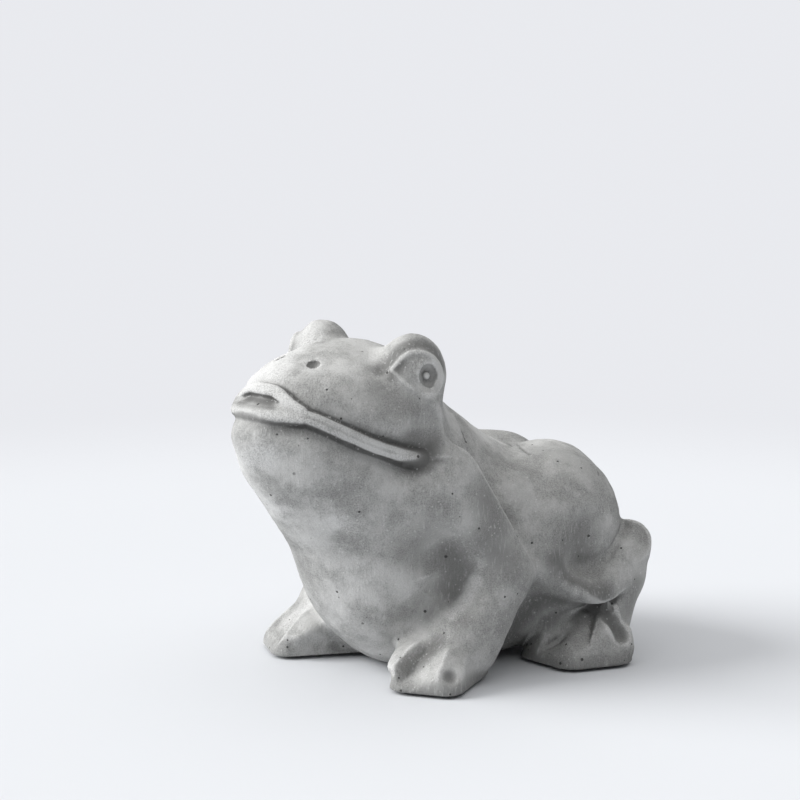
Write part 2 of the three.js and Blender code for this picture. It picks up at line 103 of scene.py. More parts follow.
def limb(p, path, radii, soft=0):
    whole = None
    for a, b, ra, rb in zip(path, path[1:], radii, radii[1:]):
        a, along = np.array(a, float), np.subtract(b, a).astype(float)
        t = np.clip((p - a) @ along / (along @ along), 0, 1)
        part = np.linalg.norm(p - a - t[:, None] * along, axis=1) - (ra + t * (rb - ra))
        if whole is None:
            whole = part
        else:
            whole = melt(whole, part, soft) if soft else np.minimum(whole, part)
    return whole


def line(p, path):
    return limb(p, path, [0] * len(path))


def ball_hollow(p, at, width):
    return swell(np.linalg.norm(p - np.array(at, float), axis=1), width)


# Blocks of clay: the feet with rounded corners and drafted sides, and a box with rounded edges
def foot_block(p, half, corner, draft, at, yaw):
    q = turned(p - np.array([*at, 0.0]), yaw)
    past = np.abs(q[:, :2]) - np.subtract(half, corner) + draft * q[:, 2:]
    return np.linalg.norm(np.maximum(past, 0), axis=1) + np.minimum(past.max(1), 0) - corner


def round_box(p, at, half, edge):
    past = np.abs(p - np.array(at, float)) - np.subtract(half, edge)
    return np.linalg.norm(np.maximum(past, 0), axis=1) + np.minimum(past.max(1), 0) - edge


# A toe's ridge from a high to a low place, falling away on its left and its right
def ridge(p, high, low, left, right, overrun=1.3, evened=0.75):
    high, along = np.array(high, float), np.subtract(low, high)
    run = math.hypot(along[0], along[1])
    past = p[:, :2] - high[:2]
    crest = high[2] + along[2] * np.clip(past @ along[:2] / run ** 2, 0, overrun)
    aside = (past[:, 1] * along[0] - past[:, 0] * along[1]) / run
    return (p[:, 2] - crest + np.where(aside > 0, left, -right) * aside) * evened


# A path bent smoothly through the given places
def bent(path, steps):
    path = np.array(path, float)
    before = np.vstack([2 * path[0] - path[1], path[:-2], path[-3]])
    after = np.vstack([path[2], path[3:], path[-1], 2 * path[-1] - path[-2]])
    places = []
    for a, b, c, d in zip(before, path[:-1], path[1:], after):
        for t in np.arange(steps) / steps:
            turn = 2 * a - 5 * b + 4 * c - d + t * (3 * (b - c) + d - a)
            places.append(b + 0.5 * t * (c - a + t * turn))
    return [*places, path[-1]]


# Distance and slope at points, and points drawn along the slope onto the skin
def slope(distance, p, reach=0.05):
    start = distance(p)
    return start, np.stack([(distance(p + reach * way) - start) / reach for way in np.eye(3)], 1)


def drawn_on(distance, p, times=2, most=1.5, flattest=0.2):
    for _ in range(times):
        off, steep = slope(distance, p)
        step = np.clip(off / np.maximum((steep ** 2).sum(1), flattest), -most, most)
        p = p - step[:, None] * steep
    return p


# The trunk from rump to snout, and the head with its eye bulges, on which the face is drawn
def trunk(p):
    chest = egg(p, (0, -9, 53), (48, 54, 51))
    rump = egg(p, (0, 43, 57), (46, 51, 42), pitch=8)
    belly = round_box(p, (0, 20, 26), (41.5, 52, 22), 16)
    throat = limb(p, [(0, -64, 118), (0, -18, 70)], [41, 48])
    nape = limb(p, [(0, -30, 109), (0, 30, 64)], [37, 40])
    crown = egg(p, (0, -43, 128), (49, 34, 30))
    snout = egg(p, (0, -63, 131), (36, 45, 24), pitch=-6)
    body = melt(melt(chest, rump, 28), belly, 14)
    body = melt(body, melt(throat, nape, 18), 14)
    return melt(body, melt(crown, snout, 14), 10)


def with_eye_bulge(p, body):
    return melt(body, egg(p, **EYE_BULGE), 7)


def bare_head(p):
    return with_eye_bulge(p, trunk(p))


def on_head(path, steps):
    return bent(drawn_on(bare_head, np.array(path, float), times=5), steps)


UPPER_LIP = on_head([(0, -99.5, 145), (8, -98.5, 144), (14, -98.5, 141.5), (19, -98, 138.8),
                     (24.5, -96.5, 136)], 2)
LOWER_LIP = on_head([(0, -107.2, 134.2), (8, -106, 134.4), (16, -103, 134.4), (25, -97, 134)], 2)
MOUTH_BAND = on_head([(23, -97, 135), (30, -90, 131.5), (37.5, -80, 125.5), (42, -68, 119.5),
                      (45.5, -54, 114), (51, -42, 110.2)], 2)
CHEEK_FOLD = on_head([(49, -40, 141), (46.7, -33.4, 130), (49, -30, 120), (53.5, -32, 113.5),
                      (54.8, -34.2, 109), (53, -39, 105.5)], 2)
EYE_FOLD = on_head([(33, -56, 155), (36, -53, 161), (39.5, -47, 165), (43, -39, 166),
                    (47, -31, 163), (50, -27, 156)], 2)
EYE_RIM = on_head([(37, -52, 152.7), (41.3, -45.5, 160), (46, -38, 159.5), (48.5, -32, 153),
                   (48.6, -33, 144), (48.2, -40.5, 140.5), (44, -48.5, 146), (37, -52, 152.7)], 3)
KNEE_FOLD = bent([(56, 29, 80), (58, 28, 58), (60, 30, 43), (63, 39, 36), (64.5, 51.5, 33),
                  (64.5, 64, 38.5), (62.5, 74, 47)], 2)
KNEE_FOLD_RADII = np.interp(np.arange(len(KNEE_FOLD)), range(0, 13, 2), (5, 6, 8, 9, 9, 10, 11))
ARMPIT = bent([(48, -30, 64), (53, -25, 55), (50, -27, 46), (43, -33, 39), (35, -38, 33)], 2)


# Arms: cut off flat behind, running softly into the chest in front, with a hollow armpit
def with_arms(p, body):
    y, z = p[:, 1], p[:, 2]
    arm = limb(p, [(33, -22, 96), (44, 3, 52), (46, -17, 19)], [28, 22, 19], 4)
    upper_back, lower_back = 0.85 * y + 0.53 * z - 43, 0.854 * y - 0.521 * z + 6.3
    arm = trim(arm, np.maximum(upper_back, lower_back), 3)
    ahead = rise((98 - z) * 0.45 - 18 - y, -6, 10)
    body = melt(body, arm, 2.5 + 15 * ahead * (0.6 + 0.4 * rise(z, 54, 86)))
    upper_pit = 9 * swell(line(p, ARMPIT[:5]), 23)
    lower_pit = 4.5 * swell(line(p, ARMPIT[4:]), 20)
    return body + np.maximum(upper_pit, lower_pit)


# Front feet: a block, sloped down to the toes, with two toe ridges and a thumbed dimple
def with_front_feet(p, body):
    foot = foot_block(p, half=(18.5, 26.5), corner=9, draft=0.1, **FRONT_SOLE)
    foot = melt(foot, limb(p, [(34, -37, 15), (38, -48, 12)], [8, 6]), 3)
    x, y = FRONT_SOLE["at"]
    ahead = 0.469 * (p[:, 0] - x) - 0.883 * (p[:, 1] - y)
    top = (p[:, 2] - 5 - 0.55 * (25 - ahead)) * 0.8
    top = melt(top, ridge(p, (42, -35, 27.5), (40.5, -54.5, 13), 1.3, 0.28), 0.8)
    top = melt(top, ridge(p, (56, -31, 25.5), (62, -45.5, 12), 0.9, 0.35), 0.8)
    top = trim(top, p[:, 2] - 23, 4)
    foot = trim(foot, top, 1.4) + 2.6 * ball_hollow(p, (65, -41, 9.5), 6)
    return melt(body, foot, 4)


# Hind legs: round haunches with a dish, the fold of the knee under it, the ankle and the shin
def with_legs(p, body):
    x, y, z = p.T
    body = melt(body, egg(p, (18, 67, 70), (30, 33, 33.5)), 8)
    body = melt(body, egg(p, (36, 53, 66), (33, 37, 36)), 9)
    body = melt(body, egg(p, (38, 57, 34), (23, 29, 32)), 8)
    body = melt(body, egg(p, (39, 24, 66), (17, 22, 30)), 10)
    body = body + 5 * swell(line(p, [(68, 46, 66), (67, 48, 53)]), 18)
    fold = limb(p, KNEE_FOLD, KNEE_FOLD_RADII, 3)
    fold = trim(fold, np.hypot(y - 50.5, z - 62) - 30.5, 1 + 8 * (1 - rise(y, 38, 54)))
    ankle = limb(p, [(62.5, 72, 47), (63, 79.5, 55.5)], [10, 13])
    ankle = trim(ankle, 0.56 * x - 0.55 * y + 0.62 * z - 29.1, 1.5)
    body = melt(body, melt(fold, ankle, 1.5), 3 + 7 * (1 - rise(y, 44, 66)))
    shin = limb(p, [(60.5, 79, 48), (61, 75.5, 40), (62, 67, 16)], [13.4, 13.2, 11], 4)
    return melt(body, shin, 3)


# Hind feet: two blocks, the inner toe, a web, two ridges, the outer toe and the pit beside it
def with_hind_feet(p, body):
    sole = foot_block(p, half=(25, 22), corner=12, draft=0.2, **HIND_SOLE)
    toe_sole = foot_block(p, half=(15, 15), corner=10, draft=0.4, at=(48, 44), yaw=0)
    top = (p[:, 2] - 10 - 0.5 * (27 - np.hypot(p[:, 0] - 66, p[:, 1] - 62))) * 0.9
    top = melt(top, limb(p, [(53, 50, 17), (44, 37, 8)], [9, 9.5]), 2)
    top = melt(top, limb(p, [(62, 52, 21), (66, 40, 10)], [5, 4]), 6)
    top = melt(top, ridge(p, (69, 58, 32), (75.5, 39.5, 9.5), 0.4, 1.2), 0.8)
    top = melt(top, ridge(p, (71, 60, 30), (81, 65, 13), 1, 1.4), 0.8)
    outer_toe = limb(p, [(74.5, 63.5, 14), (76, 63, 9)], [6.5, 7])
    foot = melt(trim(melt(sole, toe_sole, 5), top, 1.6), outer_toe, 3)
    foot = foot + 4.5 * swell(line(p, [(72.5, 57, 26), (76, 58, 19.5), (79, 59.5, 16)]), 7)
    return melt(body, foot, 3)


# Mouth: raised lips with a soft groove along them, open a little in front, over a full chin
def with_mouth(p, body):
    x, y, z = p.T
    near = np.minimum(np.minimum(line(p, UPPER_LIP), line(p, LOWER_LIP)), line(p, MOUTH_BAND))
    top, bottom = (np.interp(x, *np.array(lip)[:, ::2].T) for lip in (UPPER_LIP, LOWER_LIP))
    between = rise(top - z, 0, 2) * rise(z - bottom, 0, 2) * (1 - rise(x, 19, 24))
    down = (top - z) / np.maximum(top - bottom, 2)
    gape = 3.4 * rise(down, 0.1, 0.45) * (1 - rise(down, 0.3, 0.95))
    gape = gape * (1 - rise(x, 6, 19)) * rise(-y, 80, 88)
    band = np.interp(y, *np.array(MOUTH_BAND)[:, 1:].T)
    above = rise(z - np.where(y < -96, (top + bottom) / 2, band), -1, 1)
    reach = 14 - 4 * above
    depth = 5.2 - 1.4 * above - 3 * (1 - above) * (1 - rise(x, 8, 26))
    fading = (1 - np.clip((near - 4) / reach, 0, 1)) ** 2
    groove = depth * rise(near, 2.6, 5.2) * fading * (1 - between)
    lips, chin = 0.7 * (1 - rise(near, 1.6, 4)), 4.5 * ball_hollow(p, (0, -107, 124), 28)
    return body - lips + groove + gape - chin


# Face: eye bulges, mouth, cheek folds, forehead, the eyes with rim and pupil, and the nostrils
def with_face(p, body):
    body = with_mouth(p, with_eye_bulge(p, body))
    behind_cheek = CHEEK_FOLD[:7] + np.array([1, 9, 0])
    body = body - 3.2 * swell(line(p, CHEEK_FOLD), 8) + 1.2 * swell(line(p, behind_cheek), 9)
    body = body + 4 * ball_hollow(p, (49, -42, 121), 18) + 0.9 * swell(line(p, EYE_FOLD), 8)
    body = body - 2.4 * ball_hollow(p, (0, -40, 158), 42)
    body = carve(body, egg(p, (51.2, -41.5, 150.4), (3.8, 10, 8.8), yaw=-16), 0.8)
    body = carve(body, egg(p, (50, -39.6, 150.4), (5.7, 5.6, 6.2), yaw=-16), 0.5)
    body = melt(body, limb(p, EYE_RIM, [1.2] * len(EYE_RIM)), 2)
    body = melt(body, egg(p, (45.6, -38.8, 149.6), (1.9, 1.8, 1.9)), 0.3)
    return carve(body, egg(p, (12, -78.8, 155.7), (3, 3, 3.3)), 0.5)


# The whole frog: the left half is modelled and mirrored, then cut for the plate and the soles
def left_half(p):
    return np.abs(p * (1, 0, 0)) + p * (0, 1, 1)


def in_region(p, body, region, shape):
    body[region] = shape(p[region], body[region])
    return body


def frog(p):
    half = left_half(p)
    x, y, z = half.T
    body = with_arms(half, trunk(half))
    body = in_region(half, body, (z < 60) & (y < 10), with_front_feet)
    body = in_region(half, body, y > -20, with_legs)
    body = in_region(half, body, (z < 60) & (y > 10), with_hind_feet)
    body = in_region(half, body, (z > 85) & (y < 0), with_face)
    seat_wall = np.hypot(x, y - PLATE_BEHIND) - REBATE["radius"]
    seat = np.maximum(seat_wall, z - BELLY_CLEARANCE - REBATE["depth"])
    return trim(carve(body, seat, 0.5), SOLE_HEIGHT - z, 1.5)


# The mould's skin is found on a net of cells: one point in each cell that the clay's surface
# crosses, then every face is quartered and all points are drawn onto the surface.
def skin_net(distance, low, high, cell, batches=16):
    low = np.array(low, float)
    size = np.ceil((np.array(high) - low) / cell).astype(int) + 1
    axes = [low[i] + cell * np.arange(size[i]) for i in range(3)]
    grid = np.stack(np.meshgrid(*axes, indexing="ij"), -1).reshape(-1, 3)
    field = np.concatenate([distance(part) for part in np.array_split(grid, batches)])
    field = field.reshape(size)
    cells = size - 1
    total, count = np.zeros((*cells, 3)), np.zeros(cells)
    for corner in np.ndindex(2, 2, 2):
        for axis in range(3):
            if corner[axis]:
                continue
            other = [c + (k == axis) for k, c in enumerate(corner)]
            a, b = (field[tuple(slice(c, c + n) for c, n in zip(at, cells))]
                    for at in (corner, other))
            crossed = (a < 0) != (b < 0)
            place = np.zeros((*cells, 3)) + corner
            place[..., axis] += np.where(crossed, a / np.where(a == b, 1, a - b), 0)
            total += place * crossed[..., None]
            count += crossed
    used = count > 0
    number = np.full(cells, -1)
    number[used] = np.arange(used.sum())
    points = low + cell * (np.argwhere(used) + total[used] / count[used][:, None])
    faces = []
    for axis in range(3):
        u, v = (axis + 1) % 3, (axis + 2) % 3
        ahead = np.take(field, range(1, size[axis]), axis) < 0
        here = np.take(field, range(size[axis] - 1), axis) < 0
        edge = np.argwhere(ahead != here)
        inside = (edge[:, u] > 0) & (edge[:, u] < cells[u])
        edge = edge[inside & (edge[:, v] > 0) & (edge[:, v] < cells[v])]
        quad = []
        for du, dv in ((1, 1), (0, 1), (0, 0), (1, 0)):
            beside = edge.copy()
            beside[:, u] -= du
            beside[:, v] -= dv
            quad.append(number[tuple(beside.T)])
        quad = np.stack(quad, 1)
        back = ~here[tuple(edge.T)]
        quad[back] = quad[back][:, ::-1]
        faces.append(quad)
    return points, np.concatenate(faces)


def quartered(points, faces):
    edges = np.sort(np.stack([faces, np.roll(faces, -1, 1)], -1).reshape(-1, 2), 1)
    single, which = np.unique(edges, axis=0, return_inverse=True)
    side = which.reshape(-1, 4) + len(points)
    middle = np.arange(len(faces)) + len(points) + len(single)
    parts = [np.stack([faces[:, i], side[:, i], middle, side[:, i - 1]], 1) for i in range(4)]
    places = np.concatenate([points, points[single].mean(1), points[faces].mean(1)])
    return places, np.concatenate(parts)


NET_CELL = 2.0
points, faces = skin_net(frog, (-94, -118, -2), (94, 102, 176), NET_CELL)
points = drawn_on(frog, points)
points, faces = quartered(points, faces)
points = drawn_on(frog, points)
_, normals = slope(frog, points)
steepness = np.linalg.norm(normals, axis=1)
normals /= steepness[:, None]
half = left_half(points)


# How closed in the skin is within a reach, for the painted shade that darkens the hollows there;
# the eye, the nostril and the gap by the front foot get less of it
def closed_in(reach):
    return np.clip((reach - frog(points + reach * normals) / steepness) / reach, 0, 1)


in_eye = ball_hollow(half, (48, -40, 150), 10)
in_nostril = ball_hollow(half, (12, -78.8, 154.3), 8)
by_foot = ball_hollow(half, (30, -39, 24), 18)
hollow = closed_in(4) * (1 - 0.8 * in_eye) * (1 - 0.7 * in_nostril) * (1 - 0.7 * by_foot)
sheltered_shade = closed_in(14) * (1 - 0.6 * by_foot)

# Edges that the brush rubbed pale, with a painted highlight along them: where the skin falls away
# on both sides
BEND_REACH = 2.5
aside = np.cross(normals, (0.36, 0.48, 0.8))
aside *= BEND_REACH / np.maximum(np.linalg.norm(aside, axis=1), 0.001)[:, None]
along = np.cross(normals, aside)
falls = [frog(points + step) for step in (aside, -aside, along, -along)]
edge = np.clip(np.mean(falls, axis=0) / steepness, 0, 1)


# Places painted dark, for the shade in the grooves, folds and hollows and where the cement dried
# dark, places painted pale, for a lime bloom and for lit faces and ridges, and places that kept
# more pores or
# were scratched: each is a line on the skin with its width and strength
def patches(p, places):
    return np.max([strength * swell(line(p, path), width)
                   for path, width, strength in places.values()], axis=0)


# Dark patches: mostly painted shade in the mouth grooves, the eye folds, the armpit, the knee
# fold, between the toes and behind the arm, partly cement that dried dark
shade_and_stains = patches(half, {
    "upper arm": ([(60, -14, 90), (63, -8, 76), (61.5, -16, 70), (62, 0, 56)], 23, 0.75),
    "chest beside the arm": ([(50, -36, 86), (44, -44, 68)], 22, 0.55),
    "throat": ([(2, -79, 98), (8, -73, 82)], 10, 0.5),
    "under the lower lip": (np.array(LOWER_LIP) + (0, 0, -6), 7, 0.75),
    "under the mouth": (np.array(MOUTH_BAND) + (1, 0, -6), 7, 1),
    "over the mouth": (np.array(MOUTH_BAND) + (0, 0, 5.5), 6, 0.9),
    "over the upper lip": (np.array(UPPER_LIP) + (0, 2.6, 5.4), 6, 1),
    "fold over the eye": (EYE_FOLD, 9, 1.05),
    "in front of the eye": ([(40.4, -49, 155), (37, -53, 150)], 8, 1),
    "top of the eye": ([(41, -38, 163.5), (35, -38, 167)], 9, 0.6),
    "cheek": ([(38, -60, 144), (47, -46, 132)], 16, 0.55),
    "corner of the mouth": ([(49, -40, 119), (46, -48, 122)], 14, 0.6),
    "armpit": ([(46.5, -23, 62), (47.5, -18.5, 53), (46, -20.5, 45)], 20, 1),
    "below the armpit": ([(46, -20.5, 45), (42.8, -26, 39.4), (39, -31, 33)], 11, 0.6),
    "forearm": ([(60, -20, 46), (58, -26, 32)], 9, 0.6),
    "between the front toes": ([(50, -34, 21), (45, -50, 12)], 11, 1.1),
    "front of the front foot": ([(44, -58, 4), (63, -51, 4)], 7, 0.5),
    "top of the haunch": ([(34, 50, 102), (52, 66, 94)], 26, 0.42),
    "dish of the haunch": ([(65.5, 34, 62), (66, 46, 66), (63, 46, 54)], 21, 0.75),
    "knee fold": ([(66, 28, 56), (67.5, 30, 50), (69.5, 34, 43.5), (71.5, 39, 40), (73, 45, 38),
                   (74.5, 53, 36.5)], 13, 1.1),
    "under the knee": ([(52, 36, 21), (59, 40, 26)], 10, 0.9),
    "behind the arm": ([(60, 37, 33), (51.6, 31, 32.5), (45, 26, 24), (40, 19, 13)], 14, 1.1),
    "shin": ([(72.4, 74.6, 38), (71, 71, 26)], 11, 0.65),
    "front of the hind foot": ([(64, 32, 8), (52, 30, 8)], 12, 0.4),
    "between the hind toes": ([(58, 46, 18), (66, 34, 6)], 12, 0.3),
})
# Pale patches: lime bloom, and painted light on the lit throat, snout, far eye, far front foot and
# back and along the shoulder, elbow and forearm ridges
bloom_and_painted_light = patches(points, {
    "throat": ([(-16, -90, 114), (-4, -84, 96)], 30, 1),
    "chin": ([(10.6, -107.5, 116), (-8, -104, 112)], 16, 0.8),
    "chest": ([(30, -72, 81), (20, -78, 92)], 17, 0.6),
    "belly": ([(12, -62, 66), (6, -62, 48)], 24, 0.2),
    "forehead": ([(24, -76, 150), (-10, -80, 156)], 24, 0.35),
    "snout": ([(-20, -92, 146), (0, -96, 150), (-14, -70, 158)], 22, 0.8),
    "right eye": ([(-36, -40, 158), (-30, -48, 160)], 20, 0.9),
    "upper lip": (UPPER_LIP, 5, 0.9),
    "lower lip": (LOWER_LIP, 5, 0.9),
    "right front foot": ([(-50, -44, 16), (-44, -30, 22)], 16, 0.8),
    "back": ([(16, 20, 108), (8, 36, 105)], 22, 0.8),
    "shoulder": ([(44, -10, 96), (56, 6, 66)], 9, 0.5),
    "elbow": ([(57, -14, 60), (55, -15, 50)], 6, 0.5),
    "inside of the forearm": ([(55, -15, 50), (53, -19, 42), (50, -26, 34)], 8, 0.8),
})
pitted = patches(half, {
    "edge of the front foot": ([(40, -56, 5), (64, -50, 5), (68, -34, 5)], 11, 1),
    "front toes": ([(42, -50, 14), (62, -44, 12)], 10, 0.6),
    "edge of the hind foot": ([(40, 30, 5), (72, 30, 5), (84, 60, 6)], 11, 0.9),
    "lower lip": ([(10, -106, 131), (30, -92, 127)], 9, 0.7),
})
scratches = patches(points, {
    "across the back": ([(-7.6, 62.4, 101.6), (4, 55, 102.2), (14.6, 47.8, 102.1)], 1.5, 0.9),
    "beside it": ([(8, 56, 102.2), (22.3, 47.3, 101.7)], 1.5, 0.7),
    "on the haunch": ([(18, 49.5, 101.9), (33, 42.2, 100.7)], 1.6, 0.9),
    "on the nape": ([(31.6, -2.4, 117.6), (35, -3, 112.8)], 1.5, 0.9),
    "below the nape": ([(36.2, -3.5, 111.1), (40, -6, 108)], 1.5, 0.7),
    "behind the haunch": ([(54.5, 68.1, 92), (56.5, 66, 90.5)], 1.6, 0.9),
})
height = points[:, 2]
# Painted shade towards the ground, on the frog's left side only
shade_near_ground = (1 - rise(height, 3, 12)) * rise(points[:, 0], -20, 20)
shade_and_stains = np.maximum(np.maximum(shade_and_stains, 1.2 * scratches), 0.75 * shade_near_ground)


# Lumps left by hand modelling, from random heights on a lattice, joined smoothly; the feet are
# also chipped along their edges
def lumps(p, size, seed, lattice=32):
    heights = np.random.default_rng(seed).uniform(-1, 1, (lattice, lattice, lattice))
    cell = np.floor(p / size).astype(int)
    t = p / size - cell
    t = t * t * (3 - 2 * t)
    total = np.zeros(len(p))
    for corner in np.ndindex(2, 2, 2):
        share = np.prod(np.where(corner, t, 1 - t), axis=1)
        total += share * heights[tuple(((cell + corner) % lattice).T)]
    return total


exposed = rise(height, SOLE_HEIGHT + 0.5, SOLE_HEIGHT + 4)
unevenness = 0.4 * lumps(points, 13, 1) + 0.2 * lumps(points, 5.5, 2) + 0.1 * lumps(points, 2.6, 3)
unevenness -= 0.9 * edge * rise(lumps(points, 5, 4), 0.1, 0.8) * (1 - rise(height, 8, 20))
unevenness -= 0.5 * scratches
points = points + normals * (exposed * unevenness)[:, None]
edge *= rise(points[:, 2], 5, 12)


def placed(name, data):
    made = bpy.data.objects.new(name, data)
    bpy.context.scene.collection.objects.link(made)
    return made


plate_low, plate_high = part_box("belly_plate")
frog_middle = Vector((0, (plate_low.y + plate_high.y) / 2 - PLATE_BEHIND * MM, 0))
casting_mesh = bpy.data.meshes.new("cement_frog")
casting_mesh.from_pydata((points * MM + np.array(frog_middle)).tolist(), [], faces.tolist())
casting_mesh.polygons.foreach_set("use_smooth", [True] * len(faces))
skin_marks = {"hollow": hollow, "sheltered_shade": sheltered_shade, "edge": edge, "shade_and_stains": shade_and_stains,
              "bloom_and_painted_light": bloom_and_painted_light, "pitted": pitted}
for name, values in skin_marks.items():
    layer = casting_mesh.attributes.new(name, "FLOAT", "POINT")
    layer.data.foreach_set("value", values.astype(np.float32))
casting = placed("cement_frog", casting_mesh)


# Shader nodes with their inputs, and the few kinds that the finishes use over and over
def add(tree, kind, inputs=(), **settings):
    made = tree.nodes.new(kind)
    for name, value in settings.items():
        setattr(made, name, value)
    for socket, value in dict(inputs).items():
        if isinstance(value, bpy.types.NodeSocket):
            tree.links.new(value, made.inputs[socket])
        else:
            made.inputs[socket].default_value = value
    return made


def value_of(tree, operation, *values):
    return add(tree, "ShaderNodeMath", enumerate(values), operation=operation).outputs[0]


def spread(tree, value, low, high, to_low=0.0, to_high=1.0):
    sockets = {"Value": value, 1: low, 2: high, 3: to_low, 4: to_high}
    made = add(tree, "ShaderNodeMapRange", sockets, interpolation_type="SMOOTHSTEP")
    return made.outputs[0]


def tint(tree, factor, first, second):
    made = add(tree, "ShaderNodeMix", {0: factor, 6: first, 7: second}, data_type="RGBA")
    return made.outputs[2]


def noise(tree, vector, scale, detail, roughness):
    sockets = {"Vector": vector, "Scale": scale, "Detail": detail, "Roughness": roughness}
    return add(tree, "ShaderNodeTexNoise", sockets).outputs["Fac"]


def new_finish(name):
    made = bpy.data.materials.new(name)
    made.use_nodes = True
    return made, made.node_tree, made.node_tree.nodes["Principled BSDF"]


def cover(tree, shader, colour, height, strength, distance):
    sockets = {"Height": height, "Strength": strength, "Distance": distance}
    bump = add(tree, "ShaderNodeBump", sockets)
    tree.links.new(colour, shader.inputs["Base Color"])
    tree.links.new(bump.outputs[0], shader.inputs["Normal"])


# The grain of cast cement: cloudy mottling, brush streaks, sand speckle, pale flecks and the pores
# that air left against the mould
grain = bpy.data.node_groups.new("cement_grain", "ShaderNodeTree")
grain.interface.new_socket("Pits", in_out="INPUT", socket_type="NodeSocketFloat")
for name in ("Mottle", "Streaks", "Speckle", "Pores", "Flecks", "Height"):
    grain.interface.new_socket(name, in_out="OUTPUT", socket_type="NodeSocketFloat")
where = add(grain, "ShaderNodeTexCoord").outputs["Object"]
pits = add(grain, "NodeGroupInput").outputs["Pits"]
cloud = noise(grain, where, 42, 8, 0.64)
brushed = add(grain, "ShaderNodeMapping", {"Vector": where, "Rotation": (0.9, -0.7, 0.4),
                                           "Scale": (3.4, 3.4, 0.6)})
streak = noise(grain, brushed.outputs[0], 230, 4, 0.6)
sand = noise(grain, where, 1500, 2, 0.6)
pore = add(grain, "ShaderNodeTexVoronoi", {"Vector": where, "Scale": 290.0, "Randomness": 1.0})
chance = add(grain, "ShaderNodeSeparateColor", {"Color": pore.outputs["Color"]})
likely = value_of(grain, "ADD", chance.outputs[0], value_of(grain, "MULTIPLY", pits, 0.45))
pore_size = value_of(grain, "ADD", value_of(grain, "MULTIPLY", chance.outputs[1], 0.12), 0.1)
bore = value_of(grain, "SUBTRACT", pore_size, pore.outputs["Distance"])
bore = value_of(grain, "MULTIPLY", spread(grain, bore, -0.03, 0.04),
                spread(grain, likely, 0.93, 0.95))
dust = add(grain, "ShaderNodeTexVoronoi", {"Vector": where, "Scale": 520.0, "Randomness": 1.0})
picked = add(grain, "ShaderNodeSeparateColor", {"Color": dust.outputs["Color"]})
fleck = value_of(grain, "MULTIPLY", spread(grain, dust.outputs["Distance"], 0.12, 0.3, 1, 0),
                 spread(grain, picked.outputs[0], 0.72, 0.9))
relief = value_of(grain, "ADD", value_of(grain, "MULTIPLY", sand, 0.5),
                  value_of(grain, "MULTIPLY", streak, 0.7))
relief = value_of(grain, "SUBTRACT", relief, value_of(grain, "MULTIPLY", bore, 1.2))
add(grain, "NodeGroupOutput", {"Mottle": cloud, "Streaks": streak, "Speckle": sand, "Pores": bore,
                               "Flecks": fleck, "Height": relief})

# Cement colours. The dark stain and lime bloom colours also paint shade and light, the rubbed edge
# colour also paints a highlight, and the two grime colours paint the shade in hollows
GREY_CEMENT, LIGHT_CEMENT = (0.34, 0.34, 0.332, 1), (0.62, 0.62, 0.608, 1)
SHADE_AND_STAIN, PALE_BLOOM_AND_LIGHT = (0.16, 0.16, 0.155, 1), (0.74, 0.74, 0.73, 1)
RUBBED_AND_HIGHLIT_EDGE, HOLLOW_SHADE = (0.72, 0.72, 0.71, 1), (0.1, 0.1, 0.097, 1)
SHELTERED_SHADE, DARK_SAND = (0.12, 0.12, 0.115, 1), (0.14, 0.14, 0.135, 1)
PALE_FLECK, OPEN_PORE = (0.8, 0.8, 0.79, 1), (0.04, 0.04, 0.038, 1)
cement, tree, shader = new_finish("cast_cement")
skin = {name: add(tree, "ShaderNodeAttribute", attribute_name=name).outputs["Fac"]
        for name in skin_marks}
marks = add(tree, "ShaderNodeGroup", node_tree=grain)
tree.links.new(skin["pitted"], marks.inputs["Pits"])
marks = marks.outputs
patchy = value_of(tree, "MULTIPLY_ADD", marks["Mottle"], 1.2, -0.6)
shade_and_stain_patch = spread(tree, value_of(tree, "ADD", skin["shade_and_stains"], patchy), -0.05, 1.25, 0, 0.9)
bloom_and_light_patch = spread(tree, value_of(tree, "ADD", skin["bloom_and_painted_light"], patchy), 0.1, 0.8, 0, 0.75)
brush_marks = spread(tree, marks["Streaks"], 0.52, 0.76, 0, 0.36)
sandy = value_of(tree, "MULTIPLY", spread(tree, marks["Speckle"], 0.34, 0.6, 0.5, 0),
                 spread(tree, marks["Mottle"], 0.4, 0.62, 0.9, 0.25))
colour = tint(tree, spread(tree, marks["Mottle"], 0.3, 0.7), GREY_CEMENT, LIGHT_CEMENT)
# Dark patches: painted shade in grooves, folds and hollows, and cement that dried dark
colour = tint(tree, shade_and_stain_patch, colour, SHADE_AND_STAIN)
# Pale patches: lime bloom, and painted light on the faces and ridges that the light falls on
colour = tint(tree, bloom_and_light_patch, colour, PALE_BLOOM_AND_LIGHT)
colour = tint(tree, brush_marks, colour, PALE_BLOOM_AND_LIGHT)
# Pale rubbed edges, with a painted highlight along them
colour = tint(tree, spread(tree, skin["edge"], 0.16, 0.55, 0, 0.6), colour, RUBBED_AND_HIGHLIT_EDGE)
# Painted shade in the hollows and the sheltered places
colour = tint(tree, spread(tree, skin["hollow"], 0.12, 0.7, 0, 0.75), colour, HOLLOW_SHADE)
colour = tint(tree, spread(tree, skin["sheltered_shade"], 0.25, 0.8, 0, 0.6), colour, SHELTERED_SHADE)
colour = tint(tree, sandy, colour, DARK_SAND)
colour = tint(tree, value_of(tree, "MULTIPLY", marks["Flecks"], 0.35), colour, PALE_FLECK)
colour = tint(tree, value_of(tree, "MULTIPLY", marks["Pores"], 0.85), colour, OPEN_PORE)
cover(tree, shader, colour, marks["Height"], 0.7, 0.0008)
tree.links.new(spread(tree, marks["Streaks"], 0.3, 0.8, 0.95, 0.8), shader.inputs["Roughness"])
shader.inputs["Specular IOR Level"].default_value = 0.25
casting_mesh.materials.append(cement)
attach(casting, "root")
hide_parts("frog_casting")

